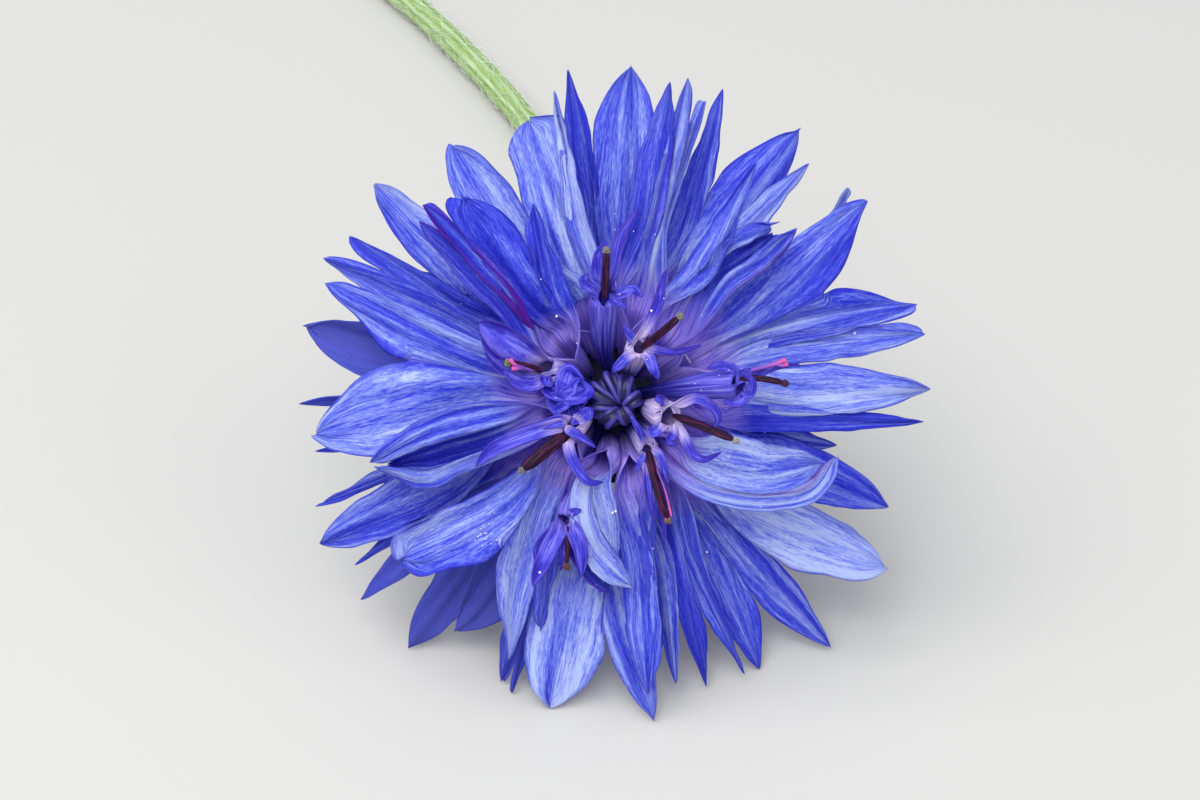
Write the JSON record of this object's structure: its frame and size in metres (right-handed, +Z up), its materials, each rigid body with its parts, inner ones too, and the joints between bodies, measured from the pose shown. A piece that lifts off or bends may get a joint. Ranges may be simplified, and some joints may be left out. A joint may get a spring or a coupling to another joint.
{
  "type": "cornflower",
  "caption": "Cut double cornflower lying on a surface: a full head of blue-violet ray florets round darker inner florets and buds, on a scaly green receptacle and a curved ribbed stem",
  "frame": {"origin": "on the surface the flower lies on, under the middle of its bounding box", "axes": "+Z up from the surface; +Y along the stem, from the face of the flower to the cut end; +X to the right when looking at the face"},
  "size_m": [0.047, 0.1104, 0.036],
  "materials": {
    "petal": "soft matt blue-violet petal tissue with fine lengthwise veins and paler streaks",
    "disc_corolla": "satin violet tubes with paler lavender mouths",
    "anther": "satin maroon-black rods with grey-white pollen and a pink style",
    "bud": "satin dark indigo-violet closed buds",
    "bract": "matt green scales with dark brown toothed margins",
    "receptacle": "matt pale green tissue, hidden by the bracts",
    "stem": "matt grey-green ribbed stem with a thin whitish wool"
  },
  "bodies": {
    "root": {"stem": "stem", "receptacle": "receptacle", "bract_row_01": "bract", "bract_row_02": "bract", "bract_row_03": "bract", "bract_row_04": "bract", "ray_floret_01": "petal", "ray_floret_02": "petal", "ray_floret_03": "petal", "ray_floret_04": "petal", "ray_floret_05": "petal", "ray_floret_06": "petal", "ray_floret_07": "petal", "ray_floret_08": "petal", "ray_floret_09": "petal", "ray_floret_10": "petal", "ray_floret_11": "petal", "ray_floret_12": "petal", "ray_floret_13": "petal", "ray_floret_14": "petal", "ray_floret_15": "petal", "ray_floret_16": "petal", "ray_floret_17": "petal", "ray_floret_18": "petal", "ray_floret_19": "petal", "ray_floret_20": "petal", "ray_floret_21": "petal", "ray_floret_22": "petal", "ray_floret_23": "petal", "ray_floret_24": "petal", "ray_floret_25": "petal", "ray_floret_26": "petal", "disc_floret_01": "disc_corolla", "anther_tube_01": "anther", "disc_floret_02": "disc_corolla", "anther_tube_02": "anther", "disc_floret_03": "disc_corolla", "anther_tube_03": "anther", "disc_floret_04": "disc_corolla", "anther_tube_04": "anther", "disc_floret_05": "disc_corolla", "anther_tube_05": "anther", "disc_floret_06": "disc_corolla", "anther_tube_06": "anther", "disc_floret_07": "disc_corolla", "disc_floret_08": "disc_corolla", "anther_tube_08": "anther", "disc_floret_09": "disc_corolla", "anther_tube_09": "anther", "central_bud_01": "bud", "central_bud_02": "bud", "central_bud_03": "bud", "central_bud_04": "bud", "central_bud_05": "bud", "central_bud_06": "bud", "central_bud_07": "bud"}
  },
  "joints": []
}
